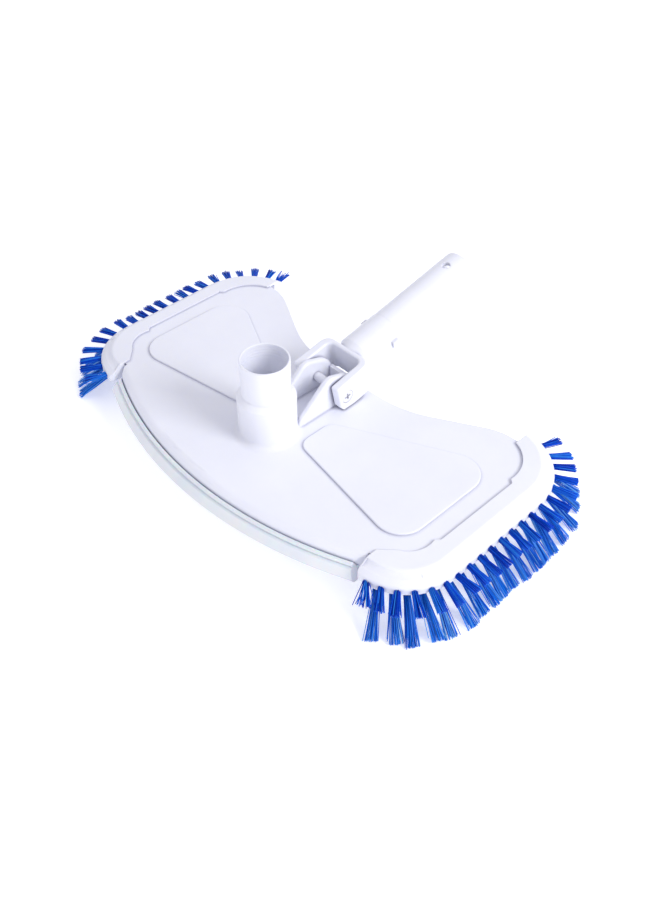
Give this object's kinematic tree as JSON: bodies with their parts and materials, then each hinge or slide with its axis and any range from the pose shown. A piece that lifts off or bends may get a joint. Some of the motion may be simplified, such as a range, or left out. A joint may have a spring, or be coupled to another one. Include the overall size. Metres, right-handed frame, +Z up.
{
  "type": "manual pool vacuum head",
  "caption": "Half-moon pool vacuum head with an upright stepped hose tail, fanned side brushes, a soft front bumper and a pole handle that swings on a cross pin.",
  "frame": {"origin": "on the floor under the middle of the whole head, with the handle in its lowest position", "axes": "+X towards the right-hand brush, +Y from the bowed front edge towards the handle, +Z up along the hose tail"},
  "size_m": [0.365, 0.2544, 0.09],
  "materials": {
    "white_abs": "moulded, satin gloss",
    "clear_pvc": "soft translucent PVC",
    "blue_bristle": "nylon filament",
    "white_nylon": "moulded",
    "steel": "stainless",
    "ballast_iron": "coated plate",
    "black_rubber": "flat sheet"
  },
  "bodies": {
    "head": {"deck_shell": "white_abs", "bumper_strip": "clear_pvc", "left_brush_bar": "white_abs", "left_upper_bristles": "blue_bristle", "left_lower_bristles": "blue_bristle", "left_ballast_weight": "ballast_iron", "left_ballast_gasket": "black_rubber", "left_ballast_cover": "white_abs", "left_cover_screws": "steel", "left_bar_screws": "steel", "right_brush_bar": "white_abs", "right_upper_bristles": "blue_bristle", "right_lower_bristles": "blue_bristle", "right_ballast_weight": "ballast_iron", "right_ballast_gasket": "black_rubber", "right_ballast_cover": "white_abs", "right_cover_screws": "steel", "right_bar_screws": "steel"},
    "handle": {"pole_handle": "white_abs", "pivot_pin": "white_nylon", "pivot_push_nut": "steel"}
  },
  "joints": [
    {"name": "handle_pivot", "type": "hinge", "parent": "head", "child": "handle", "pos_m": [0, -0.00913, 0.0423], "axis": [1, 0, 0], "range_deg": [0, 80]}
  ]
}
